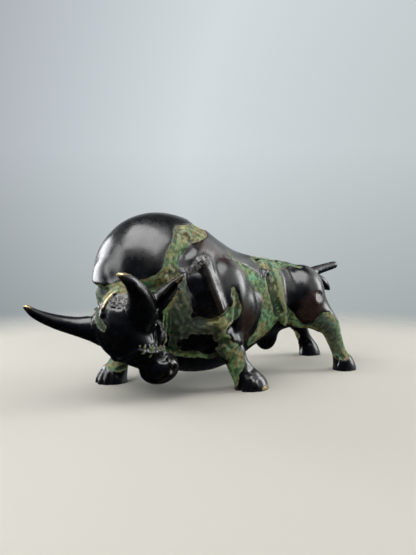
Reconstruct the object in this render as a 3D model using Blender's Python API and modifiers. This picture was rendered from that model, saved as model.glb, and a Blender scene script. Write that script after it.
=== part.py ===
"""Bull: a cast bronze bull with a great round hump, head down, standing on its four hooves.

The bull faces -X, its left side is -Y, and the hoof soles stand on the ground at Z = 0. It is one
casting: the masses are joined into one skin, the tool strokes are pressed into it, and the feet
are cut flat.
"""
import math

import bmesh
import bpy
import numpy as np
from mathutils import Euler, Matrix, Vector


HEIGHT = 0.110          # hoof soles to the top of the hump
UNIT = HEIGHT / 111.4   # every proportion below is a share of the height, in 111.4ths of it

# Upright sections of the trunk from breast to rump: x, underside z, top z, half width.
TRUNK = (
    (-86.5, 58, 84, 14),
    (-82.5, 50, 94, 21.5),
    (-76, 42, 101.5, 28),
    (-68, 33, 107.5, 33),
    (-58, 22, 111, 36),
    (-48, 14, 112, 37.2),
    (-36, 9.5, 110.3, 37.2),
    (-22, 7, 105, 35.5),
    (-7, 7.5, 95.6, 32),
    (9, 12, 87.3, 27),
    (26, 20, 83.2, 23.5),
    (45, 27, 80, 24.5),
    (59, 30, 77, 25),
    (70, 34, 71.5, 21),
)
# Limbs are given by stations: centre x, y, z, half width, half depth.
NECK = ((-58, -6, 60, 27, 28), (-72, -13, 55, 22, 24), (-80, -18, 50, 16, 17))
LEGS = (
    # left fore
    ((-20, -24, 44, 12, 13), (-14.5, -29, 31, 9.5, 11), (-11, -32, 21, 7.4, 7.8),
     (-8.2, -34.6, 12, 6.8, 7.6), (-4.5, -36.8, 6, 8.6, 9.6), (-1.9, -37.4, 1, 10.4, 11.8),
     (-1.9, -37.4, -3, 10.4, 11.8)),
    # right fore
    ((-44, 24, 44, 12, 13), (-52, 29, 31, 9.5, 10), (-57.3, 31, 20, 7, 7), (-60.2, 30.8, 12.5, 7, 7.2),
     (-63.8, 30.6, 6, 9, 9.4), (-65.8, 30.4, 1, 10.2, 11.4), (-65.8, 30.4, -3, 10.2, 11.4)),
    # left hind
    ((63, -17, 48, 14, 17), (72, -23, 38, 9.5, 11), (78, -26.5, 31, 7.4, 8.2), (81, -28.5, 21, 6, 6.3),
     (85, -29.5, 12, 5.9, 6.2), (88, -30, 6, 7, 8), (89.5, -30, 1, 8.2, 9.4), (89.5, -30, -3, 8.2, 9.4)),
    # right hind
    ((63, 17, 48, 14, 17), (82, 22, 36, 9.5, 10.5), (93, 24, 27, 7.2, 7.6), (98, 25, 19, 6, 6.2),
     (103, 26, 12, 5.9, 6.2), (106.5, 26, 6, 7, 8), (108, 26, 1, 8.2, 9.4), (108, 26, -3, 8.2, 9.4)),
)
# Middle of each sole, and how far its toe turns towards the left.
HOOVES = ((-1.9, -37.4, 8), (-65.8, 30.4, -8), (89.5, -30, 6), (108, 26, -6))
# Rounded masses: centre, half sizes, turn about x, y and z in degrees.
FLANK_MASSES = (
    ((-19, 28, 56), (20, 14.5, 28), (0, 10, 0)),    # shoulder
    ((-5, 27, 53), (13, 12, 20), (0, -10, 0)),      # upper arm
    ((61, 14, 53), (17, 18, 23), (0, 0, 0)),        # haunch
)
MIDDLE_MASSES = (
    ((41, 0, 26), (9, 8, 12), (0, 0, 0)),           # sheath
    ((-76, 12, 58), (8.5, 8.5, 12), (0, 0, 0)),     # mane on the right of the poll
)
TAIL_STEM = ((70, 0, 62, 7, 7), (80, 0, 67, 4.5, 4.5), (92, 0, 70, 3.6, 3.6), (108, 0, 73, 3, 3))
TAIL_TUFT = ((78, -5, 66, 4, 4), (85, -7, 62.5, 5.5, 4.5), (90, -8, 59, 4.5, 3.5),
             (95, -8.5, 55.5, 1.2, 1.2))
TAIL_KNOT = ((77, -6, 65), (4.6, 4.6, 4.6))
TO_CENTRE = (9.8, 6.2, 0)    # from the middle of the stance to the middle of the outline

# The head's own stations are forward, to its left and up from its centre.
HEAD_AT = (-82, -20, 46)
HEAD_YAW, HEAD_ROLL = 20, 18
FACE = ((-2, 0, 12, 13, 13), (2, 0, 3, 17.5, 17), (2, 0, -6, 16.5, 15.5), (-3, 2, -15, 12.5, 12),
        (-9, 3.5, -22, 9.5, 9), (-13.5, 4.5, -28, 9.5, 8))
MUZZLE = ((-14, 4.5, -29.5), (11, 13, 9.8))
CHEEK = ((-11, 10.5, -9), (8, 5.5, 11))
LEFT_HORN = ((0, 10, 0, 10, 10), (4, 18, 5, 9.4, 9.4), (11, 25, 12, 6.8, 6.8), (20, 29.5, 18.5, 4.2, 4.2),
             (26, 30.5, 22, 2.8, 2.8), (29.5, 30, 24, 1.5, 1.5))
RIGHT_HORN = ((0, 9, 0, 14, 14.5), (3, 16.5, 1.6, 11, 11.8), (7, 21.5, 3.6, 8, 8.8), (14, 26.5, 6.8, 5.8, 6),
              (25, 31, 12.2, 4.4, 4.4), (36, 33, 18.4, 3.1, 3.1), (42.3, 32, 22.8, 2, 2))
LEFT_EAR = ((-2, 14, 2, 4, 3), (-2, 24, 5.5, 5.6, 3.2), (-3, 35, 11, 4.8, 2.8), (-4, 46.5, 17, 1.2, 1.2))
RIGHT_EAR = ((-6, 14, 8, 4, 3), (-9, 20, 14, 3.4, 2.6), (-11, 24, 18, 1.4, 1.4))


def head_point(point, sign=1):
    """A point given forward, to the head's left and up from its centre, in the bull's own axes."""
    forward, left, up = point[:3]
    yaw, roll = math.radians(HEAD_YAW), math.radians(HEAD_ROLL)
    ahead = Vector((-math.cos(yaw), -math.sin(yaw), 0))
    aside = Vector((math.sin(yaw), -math.cos(yaw), 0))
    high = Vector((0, 0, 1))
    leaned = aside * math.cos(roll) + high * math.sin(roll)
    raised = high * math.cos(roll) - aside * math.sin(roll)
    return Vector(HEAD_AT) + ahead * forward + leaned * left * sign + raised * up


def head_limb(clay, stations, side, sign=1):
    """A limb of the head, with its stations in the head's own directions; sign -1 puts it on the right."""
    rows = [(*head_point(row, sign), *row[3:]) for row in stations]
    limb(clay, rows, head_point(side, sign) - Vector(HEAD_AT))


def head_mass(clay, centre, radii, sign=1):
    ellipsoid(clay, head_point(centre, sign), radii, (-HEAD_ROLL, 0, HEAD_YAW))


def body_masses(clay):
    """Trunk, neck, shoulders, haunches and legs."""
    trunk = [(x, 0, (low + high) / 2, half, (high - low) / 2) for x, low, high, half in TRUNK]
    limb(clay, trunk, (0, 1, 0), around=64, dome=0.3, facing=(1, 0, 0))
    limb(clay, NECK, (0, 1, 0))
    for centre, radii, turn in FLANK_MASSES:
        ellipsoid(clay, centre, radii, turn)
        ellipsoid(clay, (centre[0], -centre[1], centre[2]), radii, turn)
    for centre, radii, turn in MIDDLE_MASSES:
        ellipsoid(clay, centre, radii, turn)
    for leg in LEGS:
        limb(clay, leg, (0, 1, 0))


def detail_masses(clay):
    """Head, horns, ears and tail, which keep crisper joins than the body."""
    head_limb(clay, FACE, (0, 1, 0))
    for sign in (1, -1):
        head_mass(clay, *CHEEK, sign)
    head_mass(clay, *MUZZLE)
    head_limb(clay, LEFT_HORN, (0, 0, 1))
    head_limb(clay, RIGHT_HORN, (0, 0, 1), -1)
    head_limb(clay, LEFT_EAR, (0, 0, 1))
    head_limb(clay, RIGHT_EAR, (1, 0, 0), -1)
    limb(clay, TAIL_STEM, (0, 1, 0))
    limb(clay, TAIL_TUFT, (0, 1, 0))
    ellipsoid(clay, *TAIL_KNOT)


# Tool strokes on both flanks, given for the left one: path, half width, depth (above zero it stands out).
BODY_STROKES = (
    # the ridge down the shoulder blade and the flat in front of it
    (((-33, -33, 82), (-32, -36, 74), (-31, -38, 65), (-29, -40, 55), (-27, -40, 47), (-24, -38, 39)),
     6, 2.6),
    (((-46, -31, 86), (-44, -36, 72), (-42, -38, 60), (-40, -37, 48)), 9, -3.2),
    # the channel between hump and shoulder, and the throat under the hump
    (((-24, -8, 105), (-30, -18, 101), (-38, -26, 96), (-46, -31, 89), (-53, -34, 81), (-59, -36, 74),
      (-66, -34, 69)), 7.5, -1.9),
    (((-66, -34, 69), (-76, -28, 66.5), (-84, -20, 66), (-89, -9, 65), (-90, 0, 64)), 4.4, -3.2),
    # the hollow behind the upper arm, the one above the knee and the plate on the knee
    (((-17, -39, 64), (-16, -41, 54), (-17, -40, 44), (-21, -38, 37)), 3.4, -1.8),
    (((-24, -34, 33), (-18, -38, 31), (-12, -38, 29), (-7, -34, 28)), 3, -1.2),
    # the flank fold and the groove in front of it
    (((36, -14, 76), (35, -21, 66), (35, -24, 56), (37, -24, 46), (42, -19, 35)), 4.6, 2.4),
    (((28, -19, 70), (27, -22, 63), (29, -24, 53), (33, -23, 43)), 3.2, -2.2),
    # the dent in the back and the edge of the rump
    (((25, -7, 82), (24, -16, 75), (22, -21, 69)), 3.6, -1.8),
    (((40, -4, 80), (46, -14, 77), (47, -22, 69)), 3, -1.0),
    # bands across the breast
    (((-62, -20, 30), (-47, -25, 26), (-37, -27, 25), (-27, -28, 25)), 4, -1.8),
    (((-58, -28, 40), (-48, -33, 37), (-38, -35, 36), (-30, -37, 35)), 2.6, -1.2),
)
# Strokes on both sides of the head, given for its left one.
HEAD_STROKES = (
    # rim and slit of the eye
    (((-8.6, 15.6, -3), (-10.2, 15.5, -7), (-9.4, 15.7, -11.5), (-7.4, 15.2, -15.5), (-6, 14.9, -16.8),
      (-4.9, 15, -14.4), (-5.3, 15.5, -9.9), (-6.6, 16.2, -5.5), (-8.6, 15.6, -3)), 1.7, 1.4),
    (((-7.9, 15.7, -6.5), (-7.3, 15.7, -11), (-6.2, 15.2, -14.5)), 1.8, -2),
    # nostril, mouth and the fringe over the muzzle
    (((-12.2, 16.2, -33.6), (-13.4, 16.8, -31.6)), 2.6, -3),
    (((-8, 12, -36), (-5, 4, -38), (-5, -2, -38)), 2, -1.4),
    (((-15.4, 12.7, -21.3), (-10.6, 13, -19.9), (-2.7, 13, -20.4), (2.8, 12.1, -19.5), (7.7, 10.5, -17.8),
      (10, 4, -19), (10.5, 0, -19)), 2.6, 1.5),
    (((-13, 14, -26), (-7, 14.5, -25), (-1, 12.5, -24), (4, 8, -24), (6, 0, -24)), 3, -1.2),
)
# The crest down the middle of the brow.
BROW_CREST = (((18, 1, 8), (15.5, 1.5, 12.5), (11.5, 2.5, 16), (6.5, 4, 19)), 3, 1.4)
EAR_HOLLOW = (((0.5, 25, 2.8), (0, 30, 5.2), (-1, 35.5, 8.6), (-3, 40.5, 12.5)), 2.8, -2.4)
# The cleft of a hoof: reach towards the toe and height up; then the ring above the hoof.
CLEFT = (((11, -1), (10, 5), (7.5, 11)), 2.4, -2.6)
CORONET = (8, 10.5, 2.2, -0.9)    # reach, height, half width, depth


def spline(rows, steps):
    """Rows of numbers joined by a smooth curve through all of them, with steps points from row to row."""
    rows = np.array(rows, float)
    padded = np.vstack([2 * rows[0] - rows[1], rows, 2 * rows[-1] - rows[-2]])
    found = []
    for a, b, c, d in zip(padded, padded[1:], padded[2:], padded[3:]):
        for t in np.linspace(0, 1, steps, endpoint=False):
            straight = 2 * b + (c - a) * t
            bent = (2 * a - 5 * b + 4 * c - d) * t**2 + (3 * b - a - 3 * c + d) * t**3
            found.append((straight + bent) / 2)
    return np.array(found + [rows[-1]])


def ellipsoid(clay, centre, radii, turn=(0, 0, 0)):
    """A rounded mass: its centre, its three half sizes, and its turn about x, y and z in degrees."""
    made = bmesh.ops.create_uvsphere(clay, u_segments=64, v_segments=40, radius=1.0)
    turned = Euler([math.radians(angle) for angle in turn])
    place = Matrix.LocRotScale(Vector(centre) * UNIT, turned, Vector(radii) * UNIT)
    bmesh.ops.transform(clay, matrix=place, verts=made["verts"])


def limb(clay, stations, side, around=40, steps=8, dome=1.0, facing=None):
    """A limb lofted through its stations, with rounded ends.

    Each station is a centre x, y, z, then the half width along side and the half depth across it.
    The ends rise by dome times the smaller half size. The sections face along the limb, or the way given.
    """
    rows = spline(stations, steps)
    tangents = np.gradient(rows[:, :3], axis=0)
    tangents /= np.linalg.norm(tangents, axis=1)[:, None]
    if facing:
        tangents[:] = facing
    ends = []
    for row, tangent, outward in ((rows[0], tangents[0], -1), (rows[-1], tangents[-1], 1)):
        rise = dome * min(row[3], row[4])
        cap = []
        for angle in np.linspace(0, math.pi / 2, 7)[1:-1]:
            moved = row.copy()
            moved[:3] += tangent * outward * rise * math.sin(angle)
            moved[3:] *= math.cos(angle)
            cap.append((moved, tangent))
        ends.append(cap)
    rings = ends[0][::-1] + list(zip(rows, tangents)) + ends[1]
    made = []
    for row, tangent in rings:
        across = np.array(side, float) - tangent * np.dot(side, tangent)
        across /= np.linalg.norm(across)
        depth = np.cross(tangent, across)
        ring = []
        for angle in np.linspace(0, 2 * math.pi, around, endpoint=False):
            point = row[:3] + across * row[3] * math.cos(angle) + depth * row[4] * math.sin(angle)
            ring.append(clay.verts.new(Vector(point) * UNIT))
        made.append(ring)
    for low, high in zip(made, made[1:]):
        for i in range(around):
            j = (i + 1) % around
            clay.faces.new((low[i], low[j], high[j], high[i]))
    clay.faces.new(made[0][::-1])
    clay.faces.new(made[-1])


def fused(name, clay, voxel, rounds):
    """One skin over all the masses in clay, with the joins between them smoothed in so many rounds."""
    mesh = bpy.data.meshes.new(name)
    clay.to_mesh(mesh)
    clay.free()
    body = bpy.data.objects.new(name, mesh)
    bpy.context.scene.collection.objects.link(body)
    skin = body.modifiers.new("one skin", "REMESH")
    skin.mode = "VOXEL"
    skin.voxel_size = voxel
    skin.use_smooth_shade = True
    soften = body.modifiers.new("soft joins", "SMOOTH")
    soften.factor = 0.5
    soften.iterations = rounds
    graph = bpy.context.evaluated_depsgraph_get()
    made = bpy.data.meshes.new_from_object(body.evaluated_get(graph))
    bpy.data.objects.remove(body)
    return made


def stroke(points, normals, path, width, depth):
    """Moves points in or out of the surface along a path, most at its middle and none at its edges."""
    line = spline(path, 10)
    near = np.full(len(points), 1e9)
    for start, end in zip(line, line[1:]):
        along = end - start
        share = np.clip((points - start) @ along / (along @ along), 0, 1)
        near = np.minimum(near, np.linalg.norm(points - start - share[:, None] * along, axis=1))
    fade = np.clip(1 - (near / width) ** 2, 0, 1) ** 2
    points += normals * (fade * depth)[:, None]


def hoof_strokes():
    """The cleft and the coronet ring of every hoof."""
    for x, y, turn in HOOVES:
        toe = Euler((0, 0, math.radians(turn))).to_matrix() @ Vector((-1, 0, 0))
        foot = Vector((x, y, 0))
        path, width, depth = CLEFT
        yield [foot + toe * reach + Vector((0, 0, up)) for reach, up in path], width, depth
        reach, up, width, depth = CORONET
        turns = [Euler((0, 0, math.radians(angle))) for angle in range(0, 361, 30)]
        spokes = [step.to_matrix() @ toe * reach for step in turns]
        yield [foot + spoke + Vector((0, 0, up)) for spoke in spokes], width, depth


def strokes():
    """Every tool stroke of the body, the head, the ear, the brow and the hooves."""
    for path, width, depth in BODY_STROKES:
        yield path, width, depth
        yield [(x, -y, z) for x, y, z in path], width, depth
    for path, width, depth in HEAD_STROKES:
        yield [head_point(point) for point in path], width, depth
        yield [head_point(point, -1) for point in path], width, depth
    for path, width, depth in (EAR_HOLLOW, BROW_CREST):
        yield [head_point(point) for point in path], width, depth
    yield from hoof_strokes()


def carve(mesh):
    """Presses all the strokes into the mesh."""
    points = np.empty(len(mesh.vertices) * 3)
    mesh.vertices.foreach_get("co", points)
    points = points.reshape(-1, 3) / UNIT
    normals = np.empty(len(mesh.vertices) * 3)
    mesh.vertex_normals.foreach_get("vector", normals)
    normals = normals.reshape(-1, 3)
    for path, width, depth in strokes():
        stroke(points, normals, path, width, depth)
    mesh.vertices.foreach_set("co", (points * UNIT).ravel())


def sculpture(name, voxel):
    """The whole bull as one fine mesh, before its soles are cut flat."""
    clay = bmesh.new()
    body_masses(clay)
    body = fused(name, clay, voxel, 30)
    clay = bmesh.new()
    clay.from_mesh(body)
    detail_masses(clay)
    mesh = fused(name, clay, voxel, 5)
    carve(mesh)
    return mesh


VOXEL = 0.0014          # size of the cells the masses are joined in
TRIANGLES = 9300        # about how many the finished solid keeps


def bronze():
    """A dark, polished casting with a brown-green cast."""
    surface = bpy.data.materials.new("patinated bronze")
    surface.use_nodes = True
    shader = surface.node_tree.nodes["Principled BSDF"]
    shader.inputs["Base Color"].default_value = (0.045, 0.04, 0.032, 1)
    shader.inputs["Metallic"].default_value = 1.0
    shader.inputs["Roughness"].default_value = 0.3
    return surface


def ground_cutter(collection):
    """A block whose top is the ground, to cut the feet flat."""
    clay = bmesh.new()
    bmesh.ops.create_cube(clay, size=1.0)
    size = Vector((3 * HEIGHT, 2 * HEIGHT, 0.4 * HEIGHT))
    place = Matrix.LocRotScale(Vector((0, 0, -size.z / 2)), None, size)
    bmesh.ops.transform(clay, matrix=place, verts=clay.verts)
    mesh = bpy.data.meshes.new("ground cutter")
    clay.to_mesh(mesh)
    clay.free()
    cutter = bpy.data.objects.new("ground cutter", mesh)
    cutter.hide_render = True
    cutter.display_type = "WIRE"
    collection.objects.link(cutter)
    return cutter


def build():
    for old in list(bpy.data.objects):
        bpy.data.objects.remove(old)
    parts = bpy.data.collections.new("Bull")
    cutters = bpy.data.collections.new("cutters")
    for collection in (parts, cutters):
        bpy.context.scene.collection.children.link(collection)
    mesh = sculpture("bull", VOXEL)
    bull = bpy.data.objects.new("bull", mesh)
    parts.objects.link(bull)
    bull.data.transform(Matrix.Translation(Vector(TO_CENTRE) * UNIT))
    light = bull.modifiers.new("fewer facets", "DECIMATE")
    light.ratio = TRIANGLES / (2 * len(mesh.polygons))
    light.use_collapse_triangulate = True
    soles = bull.modifiers.new("flat soles", "BOOLEAN")
    soles.operation = "DIFFERENCE"
    soles.solver = "EXACT"
    soles.object = ground_cutter(cutters)
    bull.data.materials.clear()
    bull.data.materials.append(bronze())
    for face in bull.data.polygons:
        face.use_smooth = True


build()
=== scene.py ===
"""Bull: the finished casting, with its tool marks, polished plates and green patina."""

import math

import bmesh
import bpy
import numpy as np
from mathutils import Euler, Matrix, Vector, noise


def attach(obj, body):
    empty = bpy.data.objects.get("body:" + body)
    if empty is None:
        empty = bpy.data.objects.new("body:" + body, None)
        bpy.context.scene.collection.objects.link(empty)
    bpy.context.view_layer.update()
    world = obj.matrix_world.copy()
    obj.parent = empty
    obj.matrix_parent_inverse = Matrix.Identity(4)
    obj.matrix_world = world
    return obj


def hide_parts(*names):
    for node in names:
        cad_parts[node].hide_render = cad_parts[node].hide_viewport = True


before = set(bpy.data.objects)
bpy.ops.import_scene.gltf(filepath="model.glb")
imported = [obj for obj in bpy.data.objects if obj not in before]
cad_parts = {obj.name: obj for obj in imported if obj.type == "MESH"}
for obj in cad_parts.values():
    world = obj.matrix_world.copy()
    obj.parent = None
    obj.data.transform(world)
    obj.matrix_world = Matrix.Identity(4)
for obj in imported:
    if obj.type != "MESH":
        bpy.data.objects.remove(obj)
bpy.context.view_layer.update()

HEIGHT = 0.110          # hoof soles to the top of the hump
UNIT = HEIGHT / 111.4   # every proportion below is a share of the height, in 111.4ths of it

# Upright sections of the trunk from breast to rump: x, underside z, top z, half width.
TRUNK = (
    (-86.5, 58, 84, 14),
    (-82.5, 50, 94, 21.5),
    (-76, 42, 101.5, 28),
    (-68, 33, 107.5, 33),
    (-58, 22, 111, 36),
    (-48, 14, 112, 37.2),
    (-36, 9.5, 110.3, 37.2),
    (-22, 7, 105, 35.5),
    (-7, 7.5, 95.6, 32),
    (9, 12, 87.3, 27),
    (26, 20, 83.2, 23.5),
    (45, 27, 80, 24.5),
    (59, 30, 77, 25),
    (70, 34, 71.5, 21),
)
# Limbs are given by stations: centre x, y, z, half width, half depth.
NECK = ((-58, -6, 60, 27, 28), (-72, -13, 55, 22, 24), (-80, -18, 50, 16, 17))
LEGS = (
    # left fore
    ((-20, -24, 44, 12, 13), (-14.5, -29, 31, 9.5, 11), (-11, -32, 21, 7.4, 7.8),
     (-8.2, -34.6, 12, 6.8, 7.6), (-4.5, -36.8, 6, 8.6, 9.6), (-1.9, -37.4, 1, 10.4, 11.8),
     (-1.9, -37.4, -3, 10.4, 11.8)),
    # right fore
    ((-44, 24, 44, 12, 13), (-52, 29, 31, 9.5, 10), (-57.3, 31, 20, 7, 7), (-60.2, 30.8, 12.5, 7, 7.2),
     (-63.8, 30.6, 6, 9, 9.4), (-65.8, 30.4, 1, 10.2, 11.4), (-65.8, 30.4, -3, 10.2, 11.4)),
    # left hind
    ((63, -17, 48, 14, 17), (72, -23, 38, 9.5, 11), (78, -26.5, 31, 7.4, 8.2), (81, -28.5, 21, 6, 6.3),
     (85, -29.5, 12, 5.9, 6.2), (88, -30, 6, 7, 8), (89.5, -30, 1, 8.2, 9.4), (89.5, -30, -3, 8.2, 9.4)),
    # right hind
    ((63, 17, 48, 14, 17), (82, 22, 36, 9.5, 10.5), (93, 24, 27, 7.2, 7.6), (98, 25, 19, 6, 6.2),
     (103, 26, 12, 5.9, 6.2), (106.5, 26, 6, 7, 8), (108, 26, 1, 8.2, 9.4), (108, 26, -3, 8.2, 9.4)),
)
# Middle of each sole, and how far its toe turns towards the left.
HOOVES = ((-1.9, -37.4, 8), (-65.8, 30.4, -8), (89.5, -30, 6), (108, 26, -6))
# Rounded masses: centre, half sizes, turn about x, y and z in degrees.
FLANK_MASSES = (
    ((-19, 28, 56), (20, 14.5, 28), (0, 10, 0)),    # shoulder
    ((-5, 27, 53), (13, 12, 20), (0, -10, 0)),      # upper arm
    ((61, 14, 53), (17, 18, 23), (0, 0, 0)),        # haunch
)
MIDDLE_MASSES = (
    ((41, 0, 26), (9, 8, 12), (0, 0, 0)),           # sheath
    ((-76, 12, 58), (8.5, 8.5, 12), (0, 0, 0)),     # mane on the right of the poll
)
TAIL_STEM = ((70, 0, 62, 7, 7), (80, 0, 67, 4.5, 4.5), (92, 0, 70, 3.6, 3.6), (108, 0, 73, 3, 3))
TAIL_TUFT = ((78, -5, 66, 4, 4), (85, -7, 62.5, 5.5, 4.5), (90, -8, 59, 4.5, 3.5),
             (95, -8.5, 55.5, 1.2, 1.2))
TAIL_KNOT = ((77, -6, 65), (4.6, 4.6, 4.6))
TO_CENTRE = (9.8, 6.2, 0)    # from the middle of the stance to the middle of the outline

# The head's own stations are forward, to its left and up from its centre.
HEAD_AT = (-82, -20, 46)
HEAD_YAW, HEAD_ROLL = 20, 18
FACE = ((-2, 0, 12, 13, 13), (2, 0, 3, 17.5, 17), (2, 0, -6, 16.5, 15.5), (-3, 2, -15, 12.5, 12),
        (-9, 3.5, -22, 9.5, 9), (-13.5, 4.5, -28, 9.5, 8))
MUZZLE = ((-14, 4.5, -29.5), (11, 13, 9.8))
CHEEK = ((-11, 10.5, -9), (8, 5.5, 11))
LEFT_HORN = ((0, 10, 0, 10, 10), (4, 18, 5, 9.4, 9.4), (11, 25, 12, 6.8, 6.8), (20, 29.5, 18.5, 4.2, 4.2),
             (26, 30.5, 22, 2.8, 2.8), (29.5, 30, 24, 1.5, 1.5))
RIGHT_HORN = ((0, 9, 0, 14, 14.5), (3, 16.5, 1.6, 11, 11.8), (7, 21.5, 3.6, 8, 8.8), (14, 26.5, 6.8, 5.8, 6),
              (25, 31, 12.2, 4.4, 4.4), (36, 33, 18.4, 3.1, 3.1), (42.3, 32, 22.8, 2, 2))
LEFT_EAR = ((-2, 14, 2, 4, 3), (-2, 24, 5.5, 5.6, 3.2), (-3, 35, 11, 4.8, 2.8), (-4, 46.5, 17, 1.2, 1.2))
RIGHT_EAR = ((-6, 14, 8, 4, 3), (-9, 20, 14, 3.4, 2.6), (-11, 24, 18, 1.4, 1.4))


def head_point(point, sign=1):
    """A point given forward, to the head's left and up from its centre, in the bull's own axes."""
    forward, left, up = point[:3]
    yaw, roll = math.radians(HEAD_YAW), math.radians(HEAD_ROLL)
    ahead = Vector((-math.cos(yaw), -math.sin(yaw), 0))
    aside = Vector((math.sin(yaw), -math.cos(yaw), 0))
    high = Vector((0, 0, 1))
    leaned = aside * math.cos(roll) + high * math.sin(roll)
    raised = high * math.cos(roll) - aside * math.sin(roll)
    return Vector(HEAD_AT) + ahead * forward + leaned * left * sign + raised * up


def head_limb(clay, stations, side, sign=1):
    """A limb of the head, with its stations in the head's own directions; sign -1 puts it on the right."""
    rows = [(*head_point(row, sign), *row[3:]) for row in stations]
    limb(clay, rows, head_point(side, sign) - Vector(HEAD_AT))


def head_mass(clay, centre, radii, sign=1):
    """A rounded mass of the head, with its centre in the head's own directions."""
    ellipsoid(clay, head_point(centre, sign), radii, (-HEAD_ROLL, 0, HEAD_YAW))


def body_masses(clay):
    """Trunk, neck, shoulders, haunches and legs."""
    trunk = [(x, 0, (low + high) / 2, half, (high - low) / 2) for x, low, high, half in TRUNK]
    limb(clay, trunk, (0, 1, 0), around=64, dome=0.3, facing=(1, 0, 0))
    limb(clay, NECK, (0, 1, 0))
    for centre, radii, turn in FLANK_MASSES:
        ellipsoid(clay, centre, radii, turn)
        ellipsoid(clay, (centre[0], -centre[1], centre[2]), radii, turn)
    for centre, radii, turn in MIDDLE_MASSES:
        ellipsoid(clay, centre, radii, turn)
    for leg in LEGS:
        limb(clay, leg, (0, 1, 0))


def detail_masses(clay):
    """Head, horns, ears and tail, which keep crisper joins than the body."""
    head_limb(clay, FACE, (0, 1, 0))
    for sign in (1, -1):
        head_mass(clay, *CHEEK, sign)
    head_mass(clay, *MUZZLE)
    head_limb(clay, LEFT_HORN, (0, 0, 1))
    head_limb(clay, RIGHT_HORN, (0, 0, 1), -1)
    head_limb(clay, LEFT_EAR, (0, 0, 1))
    head_limb(clay, RIGHT_EAR, (1, 0, 0), -1)
    limb(clay, TAIL_STEM, (0, 1, 0))
    limb(clay, TAIL_TUFT, (0, 1, 0))
    ellipsoid(clay, *TAIL_KNOT)


# Tool strokes on both flanks, given for the left one: path, half width, depth (above zero it stands out).
BODY_STROKES = (
    # the ridge down the shoulder blade and the flat in front of it
    (((-33, -33, 82), (-32, -36, 74), (-31, -38, 65), (-29, -40, 55), (-27, -40, 47), (-24, -38, 39)),
     6, 2.6),
    (((-46, -31, 86), (-44, -36, 72), (-42, -38, 60), (-40, -37, 48)), 9, -3.2),
    # the channel between hump and shoulder, and the throat under the hump
    (((-24, -8, 105), (-30, -18, 101), (-38, -26, 96), (-46, -31, 89), (-53, -34, 81), (-59, -36, 74),
      (-66, -34, 69)), 7.5, -1.9),
    (((-66, -34, 69), (-76, -28, 66.5), (-84, -20, 66), (-89, -9, 65), (-90, 0, 64)), 4.4, -3.2),
    # the hollow behind the upper arm, the one above the knee and the plate on the knee
    (((-17, -39, 64), (-16, -41, 54), (-17, -40, 44), (-21, -38, 37)), 3.4, -1.8),
    (((-24, -34, 33), (-18, -38, 31), (-12, -38, 29), (-7, -34, 28)), 3, -1.2),
    # the flank fold and the groove in front of it
    (((36, -14, 76), (35, -21, 66), (35, -24, 56), (37, -24, 46), (42, -19, 35)), 4.6, 2.4),
    (((28, -19, 70), (27, -22, 63), (29, -24, 53), (33, -23, 43)), 3.2, -2.2),
    # the dent in the back and the edge of the rump
    (((25, -7, 82), (24, -16, 75), (22, -21, 69)), 3.6, -1.8),
    (((40, -4, 80), (46, -14, 77), (47, -22, 69)), 3, -1.0),
    # bands across the breast
    (((-62, -20, 30), (-47, -25, 26), (-37, -27, 25), (-27, -28, 25)), 4, -1.8),
    (((-58, -28, 40), (-48, -33, 37), (-38, -35, 36), (-30, -37, 35)), 2.6, -1.2),
)
# Strokes on both sides of the head, given for its left one.
HEAD_STROKES = (
    # rim and slit of the eye
    (((-8.6, 15.6, -3), (-10.2, 15.5, -7), (-9.4, 15.7, -11.5), (-7.4, 15.2, -15.5), (-6, 14.9, -16.8),
      (-4.9, 15, -14.4), (-5.3, 15.5, -9.9), (-6.6, 16.2, -5.5), (-8.6, 15.6, -3)), 1.7, 1.4),
    (((-7.9, 15.7, -6.5), (-7.3, 15.7, -11), (-6.2, 15.2, -14.5)), 1.8, -2),
    # nostril, mouth and the fringe over the muzzle
    (((-12.2, 16.2, -33.6), (-13.4, 16.8, -31.6)), 2.6, -3),
    (((-8, 12, -36), (-5, 4, -38), (-5, -2, -38)), 2, -1.4),
    (((-15.4, 12.7, -21.3), (-10.6, 13, -19.9), (-2.7, 13, -20.4), (2.8, 12.1, -19.5), (7.7, 10.5, -17.8),
      (10, 4, -19), (10.5, 0, -19)), 2.6, 1.5),
    (((-13, 14, -26), (-7, 14.5, -25), (-1, 12.5, -24), (4, 8, -24), (6, 0, -24)), 3, -1.2),
)
# The crest down the middle of the brow.
BROW_CREST = (((18, 1, 8), (15.5, 1.5, 12.5), (11.5, 2.5, 16), (6.5, 4, 19)), 3, 1.4)
EAR_HOLLOW = (((0.5, 25, 2.8), (0, 30, 5.2), (-1, 35.5, 8.6), (-3, 40.5, 12.5)), 2.8, -2.4)
# The cleft of a hoof: reach towards the toe and height up; then the ring above the hoof.
CLEFT = (((11, -1), (10, 5), (7.5, 11)), 2.4, -2.6)
CORONET = (8, 10.5, 2.2, -0.9)    # reach, height, half width, depth


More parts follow.
